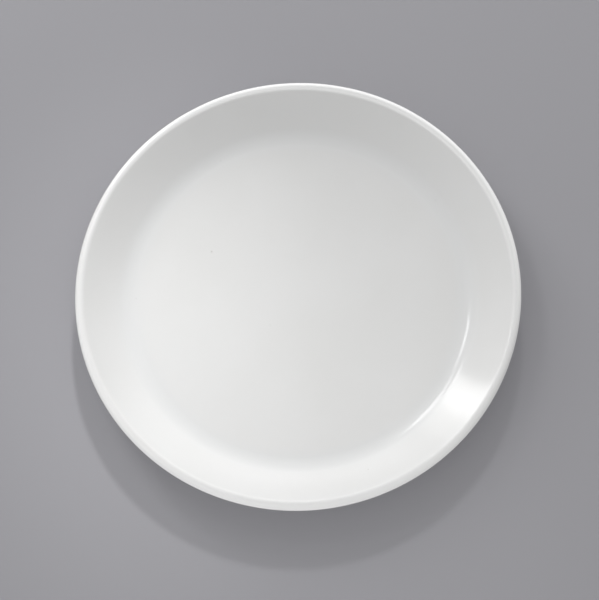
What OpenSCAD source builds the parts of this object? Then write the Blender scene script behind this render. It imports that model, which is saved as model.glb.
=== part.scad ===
// Coupe dinner plate: one pressed porcelain body under a fired glaze.
// It stands on its foot ring with +Z up. The origin is on the table, under the middle of the plate.
// All sizes are in millimetres and all angles in degrees.

/* [Plate] */
// Diameter across the glazed lip
plate_d = 267; // [200:1:320]
// Height from the table to the top of the glazed lip
plate_h = 27; // [20:0.5:36]

/* [Body] */
// Thickness of the pressed body in the well, in the bend and at the start of the wall
body_t = 4.8; // [3.5:0.1:6.5]
// Thickness of the full-round lip that the wall swells into
lip_t = 6; // [3.5:0.1:8]
// Radius at mid thickness of the bend that turns the well up into the wall
verge_r = 21; // [10:0.5:40]
// Slope of the wall where it leaves the bend
wall_slope = 33; // [22:1:50]
// Radius at mid thickness of the wall's own slight curve
wall_r = 220; // [80:5:600]

/* [Foot ring] */
// Height of the foot ring, from the table to the underside of the body
foot_h = 3; // [2:0.1:6]
// Distance of the middle of the foot ring inside the edge of the flat well
foot_inset = 14; // [8:0.5:40]
// Width of the flat bearing face that is ground on the foot ring
bearing_w = 2.5; // [1.5:0.1:5]
// Radius of the foot ring's two lower edges, which are wiped clean of glaze
foot_edge_r = 1; // [0.5:0.1:1.6]
// Radius of the fillets between the foot ring and the underside
foot_root_r = 1.5; // [0.8:0.1:3]

/* [Glaze] */
// Thickness of the fired glaze
glaze_t = 0.3; // [0.15:0.05:0.5]

/* [Hidden] */
$fn = 128;

half_t = body_t / 2;
lip_r = lip_t / 2;
// The mid line of the body runs level through the well, then up the bend and the wall to the lip.
well_mid_z = foot_h + half_t;
lip_mid = [plate_d / 2 - glaze_t - lip_r, plate_h - glaze_t - lip_r];
// Rise that is left for the wall above the bend, and the slope that this gives the wall at the lip
wall_rise = lip_mid.y - well_mid_z - verge_r * (1 - cos(wall_slope));
lip_slope = acos(cos(wall_slope) - wall_rise / wall_r);
// Radius of the flat well
well_r = lip_mid.x - verge_r * sin(wall_slope) - wall_r * (sin(lip_slope) - sin(wall_slope));
// Centres that the bend and the wall turn about
verge_mid = [well_r, well_mid_z + verge_r];
wall_mid = verge_mid + (wall_r - verge_r) * [-sin(wall_slope), cos(wall_slope)];

// Middle of the foot ring, its half width at the upright flanks, and the top of its rounded lower edges
foot_r = well_r - foot_inset;
foot_half_w = bearing_w / 2 + foot_edge_r;
foot_edge_z = foot_edge_r;
// The root fillets leave at least a fifth of the flank upright.
upright_share = 0.2;
root_r = min(foot_root_r, (1 - upright_share) * (foot_h - foot_edge_z));

// Outlines lie in a plane through the axis: x is the radius and y the height.
// Each takes a skin, by which it lies outside the body's own surface.

// Furthest that the chord between two points of an arc may lie inside it
arc_tol = 0.01;

// Number of chords that keeps an arc within that
function arc_steps(radius, turn) = ceil(abs(turn) / (2 * acos(1 - arc_tol / radius)));

// Points along an arc, without its start, which is the end of the stretch before it
function arc(centre, radius, from, to) =
    let (steps = arc_steps(radius, to - from))
    [for (i = [1 : steps]) let (a = from + (to - from) * i / steps) centre + radius * [cos(a), sin(a)]];

// Half thickness of the wall at a share of the way up it, from the body's to the lip's with smooth ends
function wall_half_t(share) = half_t + (lip_r - half_t) * share * share * (3 - 2 * share);

// Points along the face (-1) or the back (1) of the wall between two shares, without its start
function wall_line(side, skin, from, to) =
    let (turn = lip_slope - wall_slope, steps = arc_steps(wall_r, turn))
    [for (i = [1 : steps])
        let (share = from + (to - from) * i / steps, a = wall_slope - 90 + turn * share)
        wall_mid + (wall_r + side * (wall_half_t(share) + skin)) * [cos(a), sin(a)]];

function reverse(points) = [for (i = [len(points) - 1 : -1 : 0]) points[i]];

// Face of the plate: flat well, bend and wall, from the axis out to the lip
function face_line(skin) =
    let (off = half_t + skin)
    concat(
        [[0, well_mid_z + off], [well_r, well_mid_z + off]],
        arc(verge_mid, verge_r - off, -90, wall_slope - 90),
        wall_line(-1, skin, 0, 1)
    );

// Back of the plate: round the lip, then down the wall and the bend to the flat underside
function back_line(skin) =
    let (off = half_t + skin)
    concat(
        arc(lip_mid, lip_r + skin, lip_slope + 90, lip_slope - 90),
        wall_line(1, skin, 1, 0),
        arc(verge_mid, verge_r + off, wall_slope - 90, -90)
    );

// Points that are given from the middle of the foot ring, set on its outer side (1) or inner side (-1)
function foot_side(points, side) = [for (p = points) [foot_r + side * p.x, p.y]];

// Root fillet and flank of the foot ring, from the underside down to the rounded lower edge
function flank_line(skin) =
    concat(
        [[foot_half_w + root_r, foot_h - skin]],
        arc([foot_half_w + root_r, foot_h - root_r], root_r - skin, 90, 180),
        [[foot_half_w + skin, foot_edge_z]]
    );

// Rounded lower edge of the foot ring, down to the bearing face
function edge_line() = arc([bearing_w / 2, foot_edge_r], foot_edge_r, 0, -90);

// Surface that the outer glaze covers, and the surface inside the foot ring
function outer_line(skin) = concat(face_line(skin), back_line(skin), foot_side(flank_line(skin), 1));
function recess_line(skin) = concat([[0, foot_h - skin]], foot_side(flank_line(skin), -1));

// Vitrified body: well, wall, lip and foot ring pressed in one piece
module porcelain_body() {
    foot_under = concat(foot_side(edge_line(), 1), reverse(foot_side(edge_line(), -1)));
    color("#E4DFD4") rotate_extrude() polygon(concat(outer_line(0), foot_under, reverse(recess_line(0))));
}

// Glaze over the face, round the lip and down the underside to the foot ring's bare edge
module outer_glaze() {
    color("#F1F1EE") rotate_extrude() polygon(concat(outer_line(glaze_t), reverse(outer_line(0))));
}

// Glaze inside the foot ring, parted from the rest by the bare foot
module foot_recess_glaze() {
    color("#EDEDEA") rotate_extrude() polygon(concat(recess_line(glaze_t), reverse(recess_line(0))));
}

porcelain_body();
outer_glaze();
foot_recess_glaze();
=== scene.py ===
"""Dresses the coupe dinner plate: a pressed porcelain body under a fired white glaze, on a studio floor."""
import math
import bpy
import numpy as np
from mathutils import Matrix, Vector


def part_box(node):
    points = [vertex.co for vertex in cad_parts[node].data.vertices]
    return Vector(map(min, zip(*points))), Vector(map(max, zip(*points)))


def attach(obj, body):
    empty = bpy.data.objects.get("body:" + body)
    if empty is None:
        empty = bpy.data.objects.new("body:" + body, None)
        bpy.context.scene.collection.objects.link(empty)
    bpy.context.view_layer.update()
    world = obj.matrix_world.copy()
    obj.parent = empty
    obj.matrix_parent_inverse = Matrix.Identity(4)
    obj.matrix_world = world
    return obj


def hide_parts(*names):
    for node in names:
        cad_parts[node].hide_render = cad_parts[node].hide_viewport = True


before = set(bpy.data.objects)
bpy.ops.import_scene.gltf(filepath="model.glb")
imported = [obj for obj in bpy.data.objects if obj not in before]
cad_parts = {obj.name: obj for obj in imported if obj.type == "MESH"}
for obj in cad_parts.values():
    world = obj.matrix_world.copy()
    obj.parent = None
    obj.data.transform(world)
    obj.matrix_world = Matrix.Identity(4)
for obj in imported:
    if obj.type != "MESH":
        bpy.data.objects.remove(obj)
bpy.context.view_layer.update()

# Porcelain body
# One piece of porcelain clay, pressed by a roller over a turning plaster mould: flat well, turned-up wall,
# round lip and foot ring. It is fired until it is glassy right through. Only the foot ring stays bare,
# because it is wiped before the glaze firing and ground flat after it.

MM = 0.001
body_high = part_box("porcelain_body")[1]
foot_h = 3 * MM
body_t = 4.8 * MM
half_t = body_t / 2
lip_r = 3 * MM
verge_r = 21 * MM
wall_r = 220 * MM
wall_slope = math.radians(33)
foot_inset = 14 * MM
bearing_w = 2.5 * MM
foot_edge_r = 1 * MM
foot_root_r = 1.5 * MM
warp_drop = 0.15 * MM
true_axis = math.radians(62)

# The mid line of the body runs level through the well, then up the bend and the wall to the lip.
well_mid_z = foot_h + half_t
lip_mid = np.array([body_high.x - lip_r, body_high.z - lip_r])
wall_rise = lip_mid[1] - well_mid_z - verge_r * (1 - math.cos(wall_slope))
lip_slope = math.acos(math.cos(wall_slope) - wall_rise / wall_r)
wall_run = wall_r * (math.sin(lip_slope) - math.sin(wall_slope))
well_r = lip_mid[0] - verge_r * math.sin(wall_slope) - wall_run
verge_mid = np.array([well_r, well_mid_z + verge_r])
wall_mid = verge_mid + (wall_r - verge_r) * np.array([-math.sin(wall_slope), math.cos(wall_slope)])
foot_r = well_r - foot_inset
foot_half_w = bearing_w / 2 + foot_edge_r
root_x = foot_r + foot_half_w + foot_root_r

# Angle that points straight down in the plane of an outline, and steps in a full turn round the axis
DOWN = -math.pi / 2
TURNS = 360


def arc(centre, radius, start, end, count):
    """Points on a circle: centre + radius (cos a, sin a), with a going evenly from start to end."""
    a = np.linspace(start, end, count)
    return np.column_stack([centre[0] + radius * np.cos(a), centre[1] + radius * np.sin(a)])


def joined(*stretches):
    """One outline from stretches that each start where the one before ends, with that point kept once."""
    return np.concatenate([stretches[0]] + [s[1:] for s in stretches[1:]])


def wall_line(side, skin, start, end, count):
    """Face (-1) or back (1) of the wall between two shares of the way up it: points at
    wall_r + side (h + skin) from wall_mid, where h, half the thickness, goes from half_t to lip_r as
    share^2 (3 - 2 share)."""
    share = np.linspace(start, end, count)
    a = DOWN + wall_slope + (lip_slope - wall_slope) * share
    reach = wall_r + side * (half_t + (lip_r - half_t) * share ** 2 * (3 - 2 * share) + skin)
    return wall_mid + reach[:, None] * np.column_stack([np.cos(a), np.sin(a)])


def face_line(skin, fine):
    """Flat well, bend and wall from the axis to the lip, at a skin above the body. The counts of points
    grow with fine."""
    well_points = 12 * fine
    bend_points = 8 * fine
    wall_points = 6 * fine
    off = half_t + skin
    floor_z = well_mid_z + off
    return joined(
        np.linspace((0, floor_z), (well_r, floor_z), well_points),
        arc(verge_mid, verge_r - off, DOWN, DOWN + wall_slope, bend_points),
        wall_line(-1, skin, 0, 1, wall_points),
    )


def back_line(skin, fine):
    """Round the lip, then down the wall and the bend and in to the foot ring, at a skin outside the body.
    The counts of points grow with fine."""
    lip_points = 9 * fine
    wall_points = 4 * fine
    bend_points = 5 * fine
    under_points = 2 * fine
    off = half_t + skin
    under_z = foot_h - skin
    return joined(
        arc(lip_mid, lip_r + skin, lip_slope - DOWN, lip_slope + DOWN, lip_points),
        wall_line(1, skin, 1, 0, wall_points),
        arc(verge_mid, verge_r + off, DOWN + wall_slope, DOWN, bend_points),
        np.linspace((well_r, under_z), (root_x, under_z), under_points),
    )


def flank_line(skin, end_z, fine):
    """Root fillet and flank of the foot ring's outer side, from the underside down to a height. The counts
    of points grow with fine."""
    fillet_points = 3 * fine
    root_z = foot_h - foot_root_r
    flank_x = foot_r + foot_half_w + skin
    return joined(
        arc((root_x, root_z), foot_root_r - skin, -DOWN, math.pi, fillet_points),
        np.linspace((flank_x, root_z), (flank_x, end_z), fine),
    )


def foot_mirror(outline):
    """The same points on the other side of the foot ring: r goes to 2 foot_r - r, in the reverse order."""
    return np.column_stack([2 * foot_r - outline[:, 0], outline[:, 1]])[::-1]


def kiln_warp(r, z, a):
    """Sag of the plate in the kiln: the wall drops by warp_drop t^2 (1 - cos 2(a - true_axis)) / 2, where t
    is the share of the way out from the foot ring to the lip. So the lip stays true on one axis and is
    lowest across it."""
    t = np.clip((r - foot_r) / (lip_mid[0] - foot_r), 0, None)
    return r, z - warp_drop * t ** 2 * (1 - np.cos(2 * (a - true_axis))) / 2


def in_scene(name, data):
    """A new object in the scene, at the origin, with this mesh, lamp or camera."""
    thing = bpy.data.objects.new(name, data)
    bpy.context.scene.collection.objects.link(thing)
    return thing


def revolve(name, outline, form):
    """A closed solid of revolution: an outline's point (r, z) goes to (r cos a, r sin a, z) at evenly
    spaced angles a, after form has shifted r and z. The outline's ends lie on the axis and become the
    poles."""
    a = np.arange(TURNS)[:, None] * (2 * math.pi / TURNS)
    r, z = form(outline[None, 1:-1, 0], outline[None, 1:-1, 1], a)
    grid = np.stack([r * np.cos(a), r * np.sin(a), z + 0 * a], axis=-1)
    rows = grid.shape[1]
    poles = np.array([[0, 0, outline[0, 1]], [0, 0, outline[-1, 1]]])
    here = np.arange(TURNS)[:, None] * rows + np.arange(rows)
    there = np.roll(here, -1, axis=0)
    quads = np.stack([here[:, :-1], here[:, 1:], there[:, 1:], there[:, :-1]], axis=-1).reshape(-1, 4)
    first = TURNS * rows
    last = first + 1
    caps = np.concatenate([
        np.column_stack([np.full(TURNS, first), here[:, 0], there[:, 0]]),
        np.column_stack([here[:, -1], np.full(TURNS, last), there[:, -1]]),
    ])
    mesh = bpy.data.meshes.new(name)
    points = np.concatenate([grid.reshape(-1, 3), poles])
    mesh.from_pydata(points.tolist(), [], quads.tolist() + caps.tolist())
    mesh.polygons.foreach_set("use_smooth", np.ones(len(mesh.polygons), dtype=bool))
    return in_scene(name, mesh)


body_fine = 2
foot_fine = 3
foot_edge_points = 12
bearing_points = 6
roof_points = 12
foot_edge = arc((foot_r + bearing_w / 2, foot_edge_r), foot_edge_r, 0, DOWN, foot_edge_points)
outer_foot = joined(flank_line(0, foot_edge_r, foot_fine), foot_edge)
inner_foot = foot_mirror(outer_foot)
bearing = np.linspace(outer_foot[-1], inner_foot[0], bearing_points)
recess_roof = np.linspace(inner_foot[-1], (0, foot_h), roof_points)
body_top = joined(face_line(0, body_fine), back_line(0, body_fine))
body_outline = joined(body_top, outer_foot, bearing, inner_foot, recess_roof)
porcelain_body = revolve("porcelain_body_pressed", body_outline, kiln_warp)


def wire(tree, kind, sockets, **settings):
    """Adds a shader node with these settings. Each input, by name or number, is set to a value or is linked
    to another node's output."""
    node = tree.nodes.new(kind)
    for name, value in settings.items():
        setattr(node, name, value)
    for key, value in sockets.items():
        if isinstance(value, bpy.types.NodeSocket):
            tree.links.new(value, node.inputs[key])
        else:
            node.inputs[key].default_value = value
    return node


def calculate(tree, operation, *values):
    """The result of a Math node on values or sockets."""
    return wire(tree, "ShaderNodeMath", dict(enumerate(values)), operation=operation).outputs[0]


def between(tree, value, low, high):
    """A mask that climbs smoothly from 0 where value is low to 1 where it is high."""
    span = {"Value": value, "From Min": low, "From Max": high}
    return wire(tree, "ShaderNodeMapRange", span, interpolation_type="SMOOTHSTEP").outputs["Result"]


def tint(tree, mask, colour, other):
    """A colour that turns into the other one where the mask is 1."""
    node = wire(tree, "ShaderNodeMix", {"Factor": mask}, data_type="RGBA")
    for key, value in (("A_Color", colour), ("B_Color", other)):
        socket = next(s for s in node.inputs if s.identifier == key)
        if isinstance(value, bpy.types.NodeSocket):
            tree.links.new(value, socket)
        else:
            socket.default_value = (*value, 1)
    return next(s for s in node.outputs if s.identifier == "Result_Color")


def new_group(name, inputs, outputs):
    """An empty shader node group with these inputs, each a name and a default, and these outputs."""
    tree = bpy.data.node_groups.new(name, "ShaderNodeTree")
    for label, value in inputs.items():
        socket = tree.interface.new_socket(label, in_out="INPUT", socket_type="NodeSocketFloat")
        socket.default_value = value
    for label in outputs:
        tree.interface.new_socket(label, in_out="OUTPUT", socket_type="NodeSocketFloat")
    return tree, tree.nodes.new("NodeGroupInput"), tree.nodes.new("NodeGroupOutput")


def object_place(tree):
    """The place on the piece, in metres."""
    return tree.nodes.new("ShaderNodeTexCoord").outputs["Object"]


def axis_distance(tree, place):
    """How far a place lies from the plate's axis: the length of (x, y, 0)."""
    flat = wire(tree, "ShaderNodeVectorMath", {0: place, 1: (1, 1, 0)}, operation="MULTIPLY").outputs[0]
    return wire(tree, "ShaderNodeVectorMath", {0: flat}, operation="LENGTH").outputs["Value"]


# Rings that a turning tool leaves round the axis: sin(2 pi radius / spacing), which drifts and fades with
# a noise
ring_sizes = {"Spacing": 0.01, "Drift size": 0.05}
turned_rings, ring_in, ring_out = new_group("turned_rings", ring_sizes, ["Height"])
place = object_place(turned_rings)
radius = axis_distance(turned_rings, place)
drift_scale = calculate(turned_rings, "DIVIDE", 1.0, ring_in.outputs["Drift size"])
drift = wire(turned_rings, "ShaderNodeTexNoise", {"Vector": place, "Scale": drift_scale, "Detail": 2.0})
ring_count = calculate(turned_rings, "DIVIDE", radius, ring_in.outputs["Spacing"])
ring_phase = calculate(turned_rings, "ADD", ring_count, drift.outputs["Fac"])
ring_wave = calculate(turned_rings, "SINE", calculate(turned_rings, "MULTIPLY", ring_phase, 2 * math.pi))
ring_height = calculate(turned_rings, "MULTIPLY", ring_wave, drift.outputs["Fac"])
turned_rings.links.new(ring_height, ring_out.inputs["Height"])

# Specks of iron that melt through in the kiln: dots round the feature points of a cell texture, solid out
# to a share of their size and soft beyond it
speck_sizes = {"Cell": 0.02, "Size": 0.0003}
speck_core = 0.4
kiln_specks, speck_in, speck_out = new_group("kiln_specks", speck_sizes, ["Mask"])
place = object_place(kiln_specks)
cell_scale = calculate(kiln_specks, "DIVIDE", 1.0, speck_in.outputs["Cell"])
cells = wire(kiln_specks, "ShaderNodeTexVoronoi", {"Vector": place, "Scale": cell_scale})
from_speck = calculate(kiln_specks, "MULTIPLY", cells.outputs["Distance"], speck_in.outputs["Cell"])
speck_share = calculate(kiln_specks, "DIVIDE", from_speck, speck_in.outputs["Size"])
kiln_specks.links.new(between(kiln_specks, speck_share, 1.0, speck_core), speck_out.inputs["Mask"])

bare_clay = bpy.data.materials.new("bare porcelain, ground and matt")
bare_clay.use_nodes = True
tree = bare_clay.node_tree
clay_shader = tree.nodes["Principled BSDF"]
clay_cream = (0.70, 0.66, 0.58)
clay_grey = (0.60, 0.57, 0.51)
speck_brown = (0.16, 0.12, 0.08)
smudge_edges = (0.4, 0.7)
clay_roughness = {"To Min": 0.5, "To Max": 0.8}
clay_specks = {"Cell": 0.006}
grinding_sizes = {"Spacing": 0.0003, "Drift size": 0.004}
clay_depth = 0.00002
place = object_place(tree)
grain = wire(tree, "ShaderNodeTexNoise", {"Vector": place, "Scale": 900.0, "Detail": 6.0})
smudge = wire(tree, "ShaderNodeTexNoise", {"Vector": place, "Scale": 45.0, "Detail": 3.0})
specks = wire(tree, "ShaderNodeGroup", clay_specks, node_tree=kiln_specks)
smudge_mask = between(tree, smudge.outputs["Fac"], *smudge_edges)
clay_tone = tint(tree, smudge_mask, clay_cream, clay_grey)
clay_tone = tint(tree, specks.outputs["Mask"], clay_tone, speck_brown)
tree.links.new(clay_tone, clay_shader.inputs["Base Color"])
clay_rough = wire(tree, "ShaderNodeMapRange", {"Value": grain.outputs["Fac"], **clay_roughness})
tree.links.new(clay_rough.outputs["Result"], clay_shader.inputs["Roughness"])
grinding = wire(tree, "ShaderNodeGroup", grinding_sizes, node_tree=turned_rings)
clay_relief = calculate(tree, "ADD", grinding.outputs["Height"], grain.outputs["Fac"])
clay_bump = wire(tree, "ShaderNodeBump", {"Height": clay_relief, "Distance": clay_depth})
tree.links.new(clay_bump.outputs["Normal"], clay_shader.inputs["Normal"])
porcelain_body.data.materials.append(bare_clay)

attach(porcelain_body, "root")
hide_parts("porcelain_body")

# Outer glaze
# A clear glass that the dipped plate takes on all over and that melts level in the kiln. Over the white
# body it looks white. It covers the face, the lip and the underside down to the foot ring, where it ends
# in a rounded, slightly wavy bead above the wiped edge.

glaze_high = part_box("outer_glaze")[1]
glaze_t = glaze_high.z - body_high.z
wave_height = 0.03 * MM
wave_length = 62 * MM
bead_wander = 0.12 * MM
glaze_fine = 3
inside_fine = 1
inside_flank_fine = 2
bead_points = 7
bead_z = foot_edge_r + glaze_t
bead = arc((foot_r + foot_half_w, bead_z), glaze_t, 0, DOWN, bead_points)
glaze_face = face_line(glaze_t, glaze_fine)
glaze_back = back_line(glaze_t, glaze_fine)
glaze_foot = joined(flank_line(glaze_t, bead_z, glaze_fine), bead)
clay_flank = flank_line(0, foot_edge_r, inside_flank_fine)
glaze_outside = joined(glaze_face, glaze_back, glaze_foot)
glaze_inside = joined(face_line(0, inside_fine), back_line(0, inside_fine), clay_flank)[::-1]
glaze_outline = joined(glaze_outside, glaze_inside)


def bead_shares(outline):
    """Share of the bead's waviness that each outline point takes: it falls evenly from 1 at the wiped edge
    to 0 at a glaze's thickness above it."""
    return np.clip(1 - (outline[:, 1] - foot_edge_r) / glaze_t, 0, 1)[None, 1:-1]


# Only the face takes the melt's waves.
wave_share = np.where(np.arange(len(glaze_outline)) < len(glaze_face), 1.0, 0.0)[None, 1:-1]
bead_share = bead_shares(glaze_outline)


def melted_level(r, z, a):
    """Long waves of a melted glaze: wave_height / 2 times a sum of cosines that go 5, 8 and 13 times round
    the plate and repeat outwards with wave_length, the last with twice that. They grow with the square of
    the radius in the well and die out smoothly, as 1 - s^2 (3 - 2 s), up the wall. The bead wanders up by
    bead_wander (1 + w) / 2, where w is a product of cosines round the foot ring. All this is on top of the
    body's own warp."""
    out = 2 * math.pi * r / wave_length
    standing = np.cos(5 * a + 0.8) * np.cos(out)
    swirling = np.cos(8 * a - out + 2.1)
    finer = 0.6 * np.cos(13 * a + 0.5 * out)
    waves = standing + swirling + finer
    s = np.clip((r - well_r) / (glaze_face[-1, 0] - well_r), 0, 1)
    fade = np.clip(r / well_r, 0, 1) ** 2 * (1 - s ** 2 * (3 - 2 * s))
    wander = np.cos(7 * a) * np.cos(17 * a + 1) * np.cos(4 * a + 2)
    z = z + wave_share * fade * wave_height / 2 * waves + bead_share * bead_wander * (1 + wander) / 2
    return kiln_warp(r, z, a)


outer_glaze = revolve("outer_glaze_fired", glaze_outline, melted_level)

white_glaze = bpy.data.materials.new("white glaze, glossy")
white_glaze.use_nodes = True
tree = white_glaze.node_tree
glaze_shader = tree.nodes["Principled BSDF"]
glaze_white = (0.80, 0.80, 0.795)
glaze_shade = (0.785, 0.785, 0.777)
glaze_pool = (0.794, 0.798, 0.796)
# Painted highlight: a lighter white for the top of the lip
lip_painted_highlight = (0.84, 0.84, 0.835)
glaze_ior = 1.52
glaze_roughness = {"To Min": 0.09, "To Max": 0.15}
cloud_edges = (0.35, 0.7)
pool_start = (well_r - 6 * MM, well_r + 2 * MM)
pool_end = (well_r + 14 * MM, well_r + 5 * MM)
lip_highlight_edges = (glaze_high.z - 1.5 * MM, glaze_high.z)
speck_grey = (0.30, 0.28, 0.25)
speck_at = (-0.0492, 0.0358, 0.0081)
speck_size = 0.95 * MM
speck_edges = (speck_size / 2, speck_size / 5)
ring_depth = 0.000006
place = object_place(tree)
radius = axis_distance(tree, place)
height = wire(tree, "ShaderNodeSeparateXYZ", {"Vector": place}).outputs["Z"]
cloud = wire(tree, "ShaderNodeTexNoise", {"Vector": place, "Scale": 16.0, "Detail": 3.0})
cloud_mask = between(tree, cloud.outputs["Fac"], *cloud_edges)
glaze_tone = tint(tree, cloud_mask, glaze_white, glaze_shade)
# The melt runs down into the bend and is thickest there. The top of the lip is painted a lighter white, a
# painted highlight along the lip.
pool_in = between(tree, radius, *pool_start)
pool_out = between(tree, radius, *pool_end)
glaze_tone = tint(tree, calculate(tree, "MULTIPLY", pool_in, pool_out), glaze_tone, glaze_pool)
# Painted highlight: the top 1.5 mm of the lip turns a lighter white
glaze_tone = tint(tree, between(tree, height, *lip_highlight_edges), glaze_tone, lip_painted_highlight)
specks = wire(tree, "ShaderNodeGroup", {}, node_tree=kiln_specks)
one_speck = wire(tree, "ShaderNodeVectorMath", {0: place, 1: speck_at}, operation="DISTANCE")
one_speck_mask = between(tree, one_speck.outputs["Value"], *speck_edges)
speck_mask = calculate(tree, "MAXIMUM", specks.outputs["Mask"], one_speck_mask)
glaze_tone = tint(tree, speck_mask, glaze_tone, speck_grey)
tree.links.new(glaze_tone, glaze_shader.inputs["Base Color"])
breath = wire(tree, "ShaderNodeTexNoise", {"Vector": place, "Scale": 60.0, "Detail": 4.0})
glaze_rough = wire(tree, "ShaderNodeMapRange", {"Value": breath.outputs["Fac"], **glaze_roughness})
tree.links.new(glaze_rough.outputs["Result"], glaze_shader.inputs["Roughness"])
glaze_shader.inputs["IOR"].default_value = glaze_ior
roller_rings = wire(tree, "ShaderNodeGroup", {}, node_tree=turned_rings)
ring_relief = {"Height": roller_rings.outputs["Height"], "Distance": ring_depth}
glaze_bump = wire(tree, "ShaderNodeBump", ring_relief)
tree.links.new(glaze_bump.outputs["Normal"], glaze_shader.inputs["Normal"])
outer_glaze.data.materials.append(white_glaze)

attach(outer_glaze, "root")
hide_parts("outer_glaze")

# Foot recess glaze
# The same glaze on the underside inside the foot ring, which the bare foot parts from the rest. It also
# ends in a rounded bead, on the foot ring's inner flank.

recess_face_points = 24
recess_back_points = 12
recess_root_x = foot_r - foot_half_w - foot_root_r
recess_z = foot_h - glaze_t
recess_outside = joined(
    np.linspace((0, recess_z), (recess_root_x, recess_z), recess_face_points),
    foot_mirror(glaze_foot)[::-1],
)
recess_inside = joined(
    np.linspace((0, foot_h), (recess_root_x, foot_h), recess_back_points),
    foot_mirror(clay_flank)[::-1],
)
recess_outline = joined(recess_inside, recess_outside[::-1])
recess_bead_share = bead_shares(recess_outline)


def recess_form(r, z, a):
    """A bead that wanders up by bead_wander (1 + w) / 2 round the foot ring's inner flank, where w is a
    product of cosines, on top of the body's own warp."""
    wander = np.cos(5 * a + 1) * np.cos(16 * a) * np.cos(3 * a + 2)
    return kiln_warp(r, z + recess_bead_share * bead_wander * (1 + wander) / 2, a)


foot_recess_glaze = revolve("foot_recess_glaze_fired", recess_outline, recess_form)
foot_recess_glaze.data.materials.append(white_glaze)

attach(foot_recess_glaze, "root")
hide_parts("foot_recess_glaze")

# Floor
# A plain, pale grey studio floor that the plate stands on: one flat sheet with matt paint, wide enough for
# every view. It isn't part of the plate.

floor_reach = 12.0
floor_grey = (0.395, 0.391, 0.415)
floor_roughness = 0.9
floor_mesh = bpy.data.meshes.new("studio_floor")
corners = [(-floor_reach, -floor_reach, 0), (floor_reach, -floor_reach, 0),
           (floor_reach, floor_reach, 0), (-floor_reach, floor_reach, 0)]
floor_mesh.from_pydata(corners, [], [(0, 1, 2, 3)])
floor = in_scene("studio_floor", floor_mesh)
floor_paint = bpy.data.materials.new("studio floor, matt")
floor_paint.use_nodes = True
floor_shader = floor_paint.node_tree.nodes["Principled BSDF"]
floor_shader.inputs["Base Color"].default_value = (*floor_grey, 1)
floor_shader.inputs["Roughness"].default_value = floor_roughness
floor_mesh.materials.append(floor_paint)

# Lamps
# Plain studio light: soft boxes behind the plate, each given by how bright its face looks beside white
# paper, three soft spots, two level lights along the lip, and an even room fill. The glaze mirrors the
# boxes at the left in its wall, and the two bars above them in its bend.


def soft_box(name, centre, width, height, brightness, rise, across, along):
    """A rectangular lamp that faces the plate, with its height along rise. Its power is pi x area x
    brightness. The light fades out at its sides over two shares of its width, across, and at its foot and
    its top over two shares of its height, along, as a diffuser's does."""
    back = Vector(centre).normalized()
    side = Vector(rise).cross(back).normalized()
    up = back.cross(side)
    data = bpy.data.lights.new(name, "AREA")
    data.shape = "RECTANGLE"
    data.size = width
    data.size_y = height
    data.energy = math.pi * width * height * brightness
    data.use_nodes = True
    tree = data.node_tree
    face_place = tree.nodes.new("ShaderNodeNewGeometry").outputs["Parametric"]
    face_shares = wire(tree, "ShaderNodeSeparateXYZ", {"Vector": face_place})
    glow = 1.0
    for axis, (low, high) in zip("XY", (across, along)):
        share = face_shares.outputs[axis]
        glow = calculate(tree, "MULTIPLY", glow, between(tree, share, 0, low))
        glow = calculate(tree, "MULTIPLY", glow, between(tree, share, 1, 1 - high))
    tree.links.new(glow, tree.nodes["Emission"].inputs["Strength"])
    lamp = in_scene(name, data)
    lamp.matrix_world = Matrix.Translation(centre) @ Matrix((side, up, back)).transposed().to_4x4()
    lamp.visible_camera = False


soft_box("back_box", (0.24, 1.12, 0.36), width=2.2, height=0.62, brightness=0.73,
         rise=(0, 0, 1), across=(0.25, 0.25), along=(0.08, 0.08))
soft_box("left_box", (-0.653, 0.931, 0.438), width=0.265, height=0.745, brightness=5.1,
         rise=(0.13, -0.241, 0.962), across=(0.5, 0.25), along=(0.05, 0.1))
soft_box("left_wash", (-0.582, 1.038, 0.42), width=0.32, height=0.80, brightness=2.1,
         rise=(0, 0, 1), across=(0.4, 0.4), along=(0.1, 0.1))
soft_box("upper_bar", (-0.469, 0.608, 1.108), width=0.30, height=0.185, brightness=6.7,
         rise=(-0.405, -0.866, 0.292), across=(0.3, 0.3), along=(0.5, 0.06))
soft_box("slanted_bar", (-0.444, 0.873, 0.899), width=0.285, height=0.41, brightness=5.5,
         rise=(0.164, -0.692, 0.703), across=(0.06, 0.38), along=(0.3, 0.15))


def facing(way):
    """The turn that points a lamp's beam, its own -Z, along way."""
    return Vector(way).to_track_quat("-Z", "Y").to_matrix().to_4x4()


def spot(name, source, target, degrees, watts):
    """A soft-edged spot that shines from source to target, out of the glaze's mirror."""
    lamp_radius = 0.08
    data = bpy.data.lights.new(name, "SPOT")
    data.spot_size = math.radians(degrees)
    data.spot_blend = 1.0
    data.shadow_soft_size = lamp_radius
    data.energy = watts
    lamp = in_scene(name, data)
    lamp.matrix_world = Matrix.Translation(source) @ facing(Vector(target) - Vector(source))
    lamp.visible_camera = False
    lamp.visible_glossy = False


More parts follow.
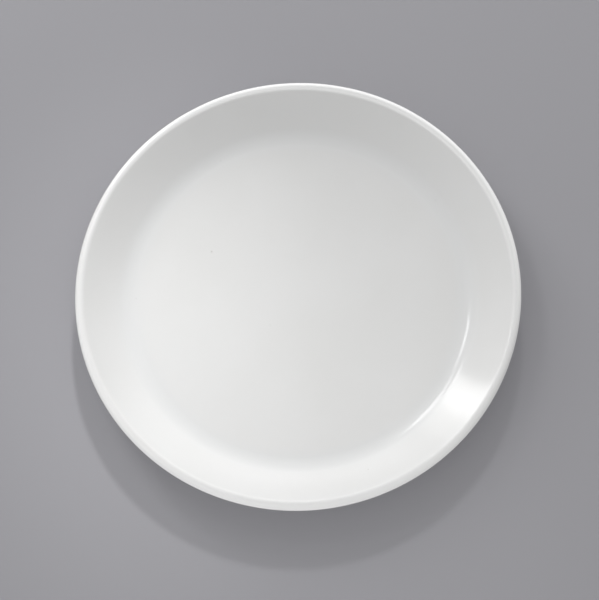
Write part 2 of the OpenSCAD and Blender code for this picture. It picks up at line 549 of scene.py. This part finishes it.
spot_stand = (0.15, 0.90, 0.85)
spot("left_spot", spot_stand, (-0.10, 0.006, 0.01), degrees=8.5, watts=37.5)
spot("front_spot", spot_stand, (0.062, -0.085, 0.01), degrees=8.5, watts=15.5)
spot("wall_spot", spot_stand, (-0.05, -0.095, 0.015), degrees=7.0, watts=20.5)


def level_light(name, way, strength, degrees):
    """A light that shines level along way, so it edges the lip on its own side and leaves the floor and
    the inside of the plate in the lip's shadow. Its disc, of so many degrees, gives that shadow its soft
    edge."""
    data = bpy.data.lights.new(name, "SUN")
    data.angle = math.radians(degrees)
    data.energy = strength
    lamp = in_scene(name, data)
    lamp.matrix_world = facing(way)
    lamp.visible_glossy = False


# The one from the back rises by a hair, so it clears the near lip. The one from the front dips by a hair,
# so it just reaches the far lip's inner side.
level_light("back_rim", (-0.5, -0.87, 0.0009), strength=2.0, degrees=0.08)
level_light("front_rim", (0.34, 0.94, -0.002), strength=1.5, degrees=0.3)

room_grey = (0.605, 0.605, 0.605)
room = bpy.data.worlds.new("room")
room.use_nodes = True
room.node_tree.nodes["Background"].inputs["Color"].default_value = (*room_grey, 1)
bpy.context.scene.world = room

# Camera
# A long lens, 1.2 m from the plate. It looks down on the face from a little in front, with the slight turn
# of the frame that the picture has.

view_elevation = math.radians(73.26)
view_roll = math.radians(-6.88)
view_distance = 1.2
lens_mm = 120.4
sensor_mm = 36.0
aim_height = 24.3 * MM
aim_right = 1.3 * MM
aim_up = -5.97 * MM
back = Vector((0, -math.cos(view_elevation), math.sin(view_elevation)))
level_up = Vector((0, math.sin(view_elevation), math.cos(view_elevation)))
level_right = Vector((1, 0, 0))
frame_right = math.cos(view_roll) * level_right + math.sin(view_roll) * level_up
frame_up = math.cos(view_roll) * level_up - math.sin(view_roll) * level_right
aim = Vector((0, 0, aim_height)) + aim_right * frame_right + aim_up * frame_up
lens = bpy.data.cameras.new("camera")
lens.sensor_fit = "VERTICAL"
lens.sensor_height = sensor_mm
lens.sensor_width = sensor_mm
lens.lens = lens_mm
camera = in_scene("camera", lens)
frame_turn = Matrix((frame_right, frame_up, back)).transposed().to_4x4()
camera.matrix_world = Matrix.Translation(aim + view_distance * back) @ frame_turn
bpy.context.scene.camera = camera
bpy.context.scene.view_settings.view_transform = "Standard"
